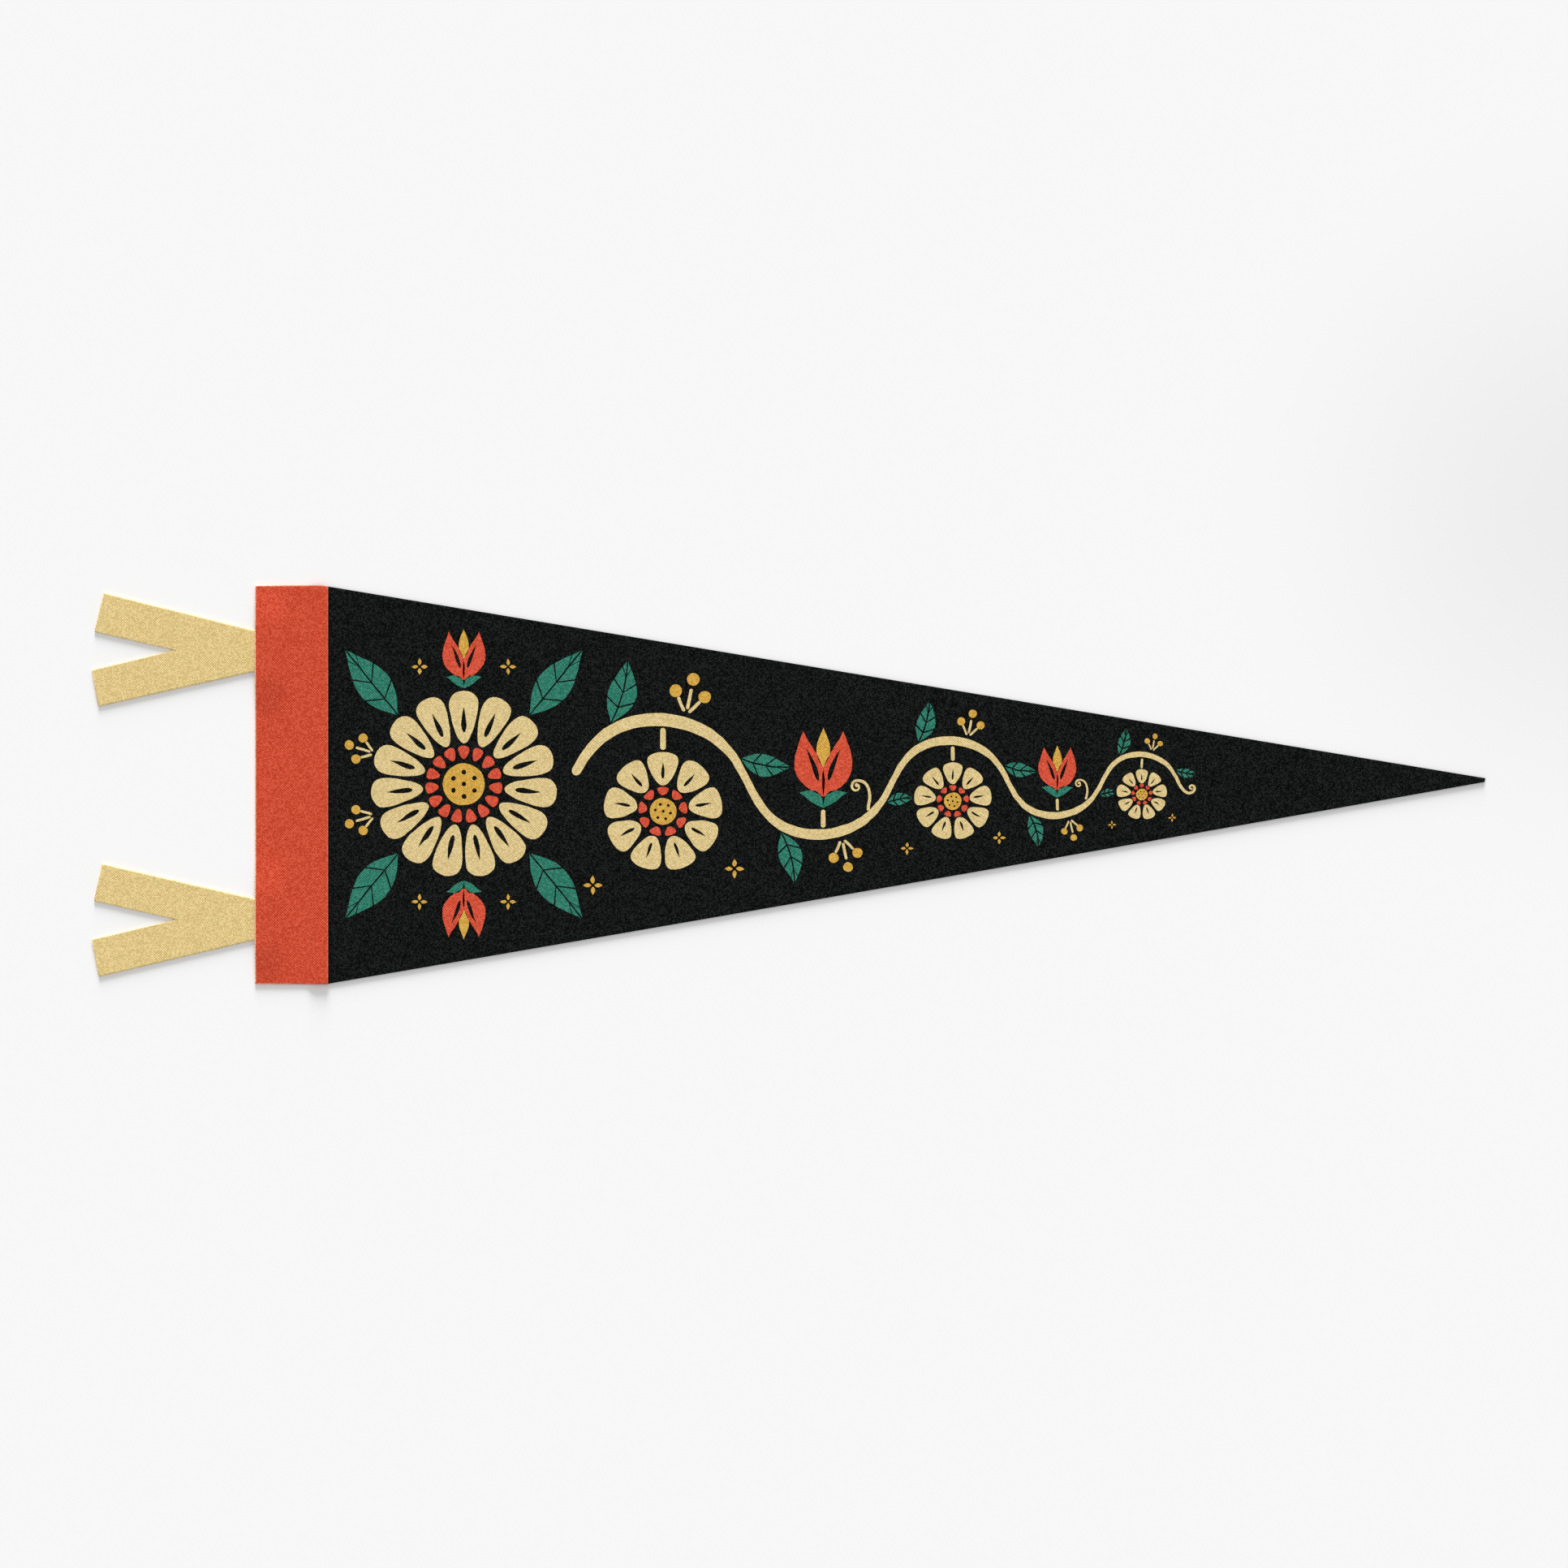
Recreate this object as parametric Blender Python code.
"""A felt pennant flag lying face up on a flat surface.

Four pieces are cut from one thickness of felt. The long tapering field and two forked ties lie
flat, with the ties' tabs a little short of the field's wide end. The heading strip laps over
the field and over both tabs, and settles to the surface softly between and beyond them.

Units are metres and +Z is up. The wide end points along -X and the tip along +X. The origin is
the middle of the outline, on the surface that the flag lies on.
"""

from typing import NamedTuple

import bmesh
import bpy
from mathutils import Vector

MM = 0.001

# Cloth
FELT = 1.2 * MM
LAYER_GAP = 0.3 * MM

# Whole outline
HALF_LENGTH = 388.4 * MM
HALF_WIDTH = 111.2 * MM

# Heading strip
HEADING_OUTER_X = -297.4 * MM
HEADING_BREADTH = 40.9 * MM
HEADING_INNER_X = HEADING_OUTER_X + HEADING_BREADTH

# Field, whose long edges start at the heading's inner edge and end at a blunt tip
UPPER_START = Vector((HEADING_INNER_X, 110.55 * MM))
LOWER_START = Vector((HEADING_INNER_X, -110.85 * MM))
TIP_UPPER = Vector((HALF_LENGTH, 3.7 * MM))
TIP_LOWER = Vector((HALF_LENGTH - 0.5 * MM, 1.6 * MM))
LOWER_BOW = 0.6 * MM
BOW_STEPS = 12
FIELD_LAP = 6.0 * MM
TRIM = 0.3 * MM

# Tie tabs, which reach under the heading
TAB_DEPTH = 12.0 * MM

# How the heading settles from what it laps over to the surface
HEADING_RISE = FELT + LAYER_GAP
REST_MARGIN = 1.0 * MM
LAP_SLOPE = 6.0 * MM
TAB_SLOPE = 26.0 * MM
SLOPE_STEPS = 8


class Tie(NamedTuple):
    """One forked tie, in millimetres: its tab's two edges, its notch and its legs' end corners."""

    name: str
    tab_edges: tuple
    notch: tuple
    upper_leg_end: tuple
    lower_leg_end: tuple


TIES = (
    Tie(
        name="tie_upper",
        tab_edges=(63.3, 85.8),
        notch=(-341.8, 75.0),
        upper_leg_end=((-381.8, 106.9), (-386.9, 85.3)),
        lower_leg_end=((-388.4, 63.8), (-384.7, 43.7)),
    ),
    Tie(
        name="tie_lower",
        tab_edges=(-86.4, -63.7),
        notch=(-340.9, -75.1),
        upper_leg_end=((-382.6, -44.1), (-387.2, -64.7)),
        lower_leg_end=((-388.4, -86.4), (-384.4, -106.9)),
    ),
)


class Dye(NamedTuple):
    """A felt's colour in daylight, each channel from 0 to 255."""

    red: int
    green: int
    blue: int


DYES = {
    "felt_black": Dye(23, 24, 24),
    "felt_red": Dye(204, 77, 53),
    "felt_cream": Dye(222, 198, 135),
}
FELT_ROUGHNESS = 0.95


def clear_scene():
    """Remove whatever the open file holds."""
    for old in list(bpy.data.objects):
        bpy.data.objects.remove(old, do_unlink=True)


def linear(channel):
    """One display channel from 0 to 255 as the linear value that a shader takes."""
    share = channel / 255
    return share / 12.92 if share <= 0.04045 else ((share + 0.055) / 1.055) ** 2.4


def felt_material(name):
    """A plain matt felt of the named dye."""
    material = bpy.data.materials.new(name)
    material.use_nodes = True
    shader = material.node_tree.nodes["Principled BSDF"]
    shader.inputs["Base Color"].default_value = (*(linear(channel) for channel in DYES[name]), 1.0)
    shader.inputs["Roughness"].default_value = FELT_ROUGHNESS
    shader.inputs["Metallic"].default_value = 0.0
    return material


def upper_edge_x(y):
    """Where the straight upper long edge of the field, carried on under the heading, is at height y."""
    along = TIP_UPPER - UPPER_START
    return UPPER_START.x + along.x * (y - UPPER_START.y) / along.y


def bowed_edge(start, end, bow, steps):
    """Points from start to end on a shallow arc that bulges by bow to the right of the way it runs."""
    along = end - start
    outward = Vector((along.y, -along.x)).normalized()
    points = []
    for step in range(steps + 1):
        share = step / steps
        points.append(start + along * share + outward * bow * 4 * share * (1 - share))
    return points


def field_outline():
    """The field: square under the heading, then tapering to the blunt tip."""
    base_x = HEADING_INNER_X - FIELD_LAP
    hidden_half = HALF_WIDTH - TRIM
    return [
        Vector((base_x, hidden_half)),
        Vector((base_x, -hidden_half)),
        Vector((HEADING_INNER_X - TRIM, -hidden_half)),
        *bowed_edge(LOWER_START, TIP_LOWER, LOWER_BOW, BOW_STEPS),
        TIP_UPPER,
        UPPER_START,
        Vector((upper_edge_x(hidden_half), hidden_half)),
    ]


def heading_outline():
    """The heading: a straight strip, with its upper inner corner trimmed along the field's edge."""
    return [
        Vector((HEADING_OUTER_X, HALF_WIDTH)),
        Vector((HEADING_OUTER_X, -HALF_WIDTH)),
        Vector((HEADING_INNER_X, -HALF_WIDTH)),
        UPPER_START,
        Vector((upper_edge_x(HALF_WIDTH), HALF_WIDTH)),
    ]


def tie_outline(tie):
    """A tie: its square tab, then two flat legs that part at the notch."""
    tab_end_x = HEADING_OUTER_X + TAB_DEPTH
    tab_low, tab_high = (y * MM for y in tie.tab_edges)
    upper_outer, upper_inner = (Vector(corner) * MM for corner in tie.upper_leg_end)
    lower_inner, lower_outer = (Vector(corner) * MM for corner in tie.lower_leg_end)
    return [
        Vector((tab_end_x, tab_high)),
        Vector((HEADING_OUTER_X, tab_high)),
        upper_outer,
        upper_inner,
        Vector(tie.notch) * MM,
        lower_inner,
        lower_outer,
        Vector((HEADING_OUTER_X, tab_low)),
        Vector((tab_end_x, tab_low)),
    ]


def eased(beyond, slope):
    """A soft step: 1 up to where the cloth leaves what it lies on, and 0 once it is slope beyond it."""
    share = min(max(1 - beyond / slope, 0.0), 1.0)
    return share * share * (3 - 2 * share)


def heading_lift(x, y):
    """How high the heading's underside lies at (x, y)."""
    field_base_x = HEADING_INNER_X - FIELD_LAP
    over_field = eased(field_base_x - REST_MARGIN - x, LAP_SLOPE)
    down = 1 - over_field
    for tie in TIES:
        tab_low, tab_high = (edge * MM for edge in tie.tab_edges)
        aside = max(tab_low - y, y - tab_high) - REST_MARGIN
        inward = x - (HEADING_OUTER_X + TAB_DEPTH) - REST_MARGIN
        down *= 1 - eased(aside, TAB_SLOPE) * eased(inward, LAP_SLOPE)
    return HEADING_RISE * (1 - down)


def slope_cuts(start, end):
    """Evenly spaced places from start to end, where the cloth is cut so that it can bend."""
    return [start + (end - start) * step / SLOPE_STEPS for step in range(SLOPE_STEPS + 1)]


def heading_cuts():
    """Where the heading bends: beside the tabs' ends and the field's end, and on both sides of each tab."""
    tab_slope_x = HEADING_OUTER_X + TAB_DEPTH + REST_MARGIN
    field_slope_x = HEADING_INNER_X - FIELD_LAP - REST_MARGIN
    across = slope_cuts(tab_slope_x, tab_slope_x + LAP_SLOPE)
    across += slope_cuts(field_slope_x - LAP_SLOPE, field_slope_x)
    along = []
    for tie in TIES:
        tab_low, tab_high = (edge * MM for edge in tie.tab_edges)
        along += slope_cuts(tab_low - REST_MARGIN - TAB_SLOPE, tab_low - REST_MARGIN)
        along += slope_cuts(tab_high + REST_MARGIN, tab_high + REST_MARGIN + TAB_SLOPE)
    return across, along


def level(_x, _y):
    """The lift of a piece that lies flat on the surface."""
    return 0.0


def cut_felt(name, outline, material, lift=level, cuts=((), ())):
    """One piece of felt: its outline, as thick as the felt, cut along X and Y and lifted point by point."""
    shape = bmesh.new()
    face = shape.faces.new([shape.verts.new((point.x, point.y, 0.0)) for point in outline])
    raised = bmesh.ops.extrude_face_region(shape, geom=[face])["geom"]
    top_corners = [part for part in raised if isinstance(part, bmesh.types.BMVert)]
    bmesh.ops.translate(shape, verts=top_corners, vec=(0.0, 0.0, FELT))
    for axis, places in zip((Vector((1.0, 0.0, 0.0)), Vector((0.0, 1.0, 0.0))), cuts):
        for place in places:
            parts = shape.verts[:] + shape.edges[:] + shape.faces[:]
            bmesh.ops.bisect_plane(shape, geom=parts, plane_co=axis * place, plane_no=axis)
    for vert in shape.verts:
        vert.co.z += lift(vert.co.x, vert.co.y)
    bmesh.ops.triangulate(shape, faces=shape.faces)
    bmesh.ops.recalc_face_normals(shape, faces=shape.faces)
    mesh = bpy.data.meshes.new(name)
    shape.to_mesh(mesh)
    shape.free()
    mesh.materials.append(material)
    piece = bpy.data.objects.new(name, mesh)
    bpy.context.scene.collection.objects.link(piece)
    return piece


def build():
    """Cut and lay out the four pieces."""
    clear_scene()
    cream = felt_material("felt_cream")
    cut_felt("field", field_outline(), felt_material("felt_black"))
    for tie in TIES:
        cut_felt(tie.name, tie_outline(tie), cream)
    cut_felt("heading", heading_outline(), felt_material("felt_red"), heading_lift, heading_cuts())


build()
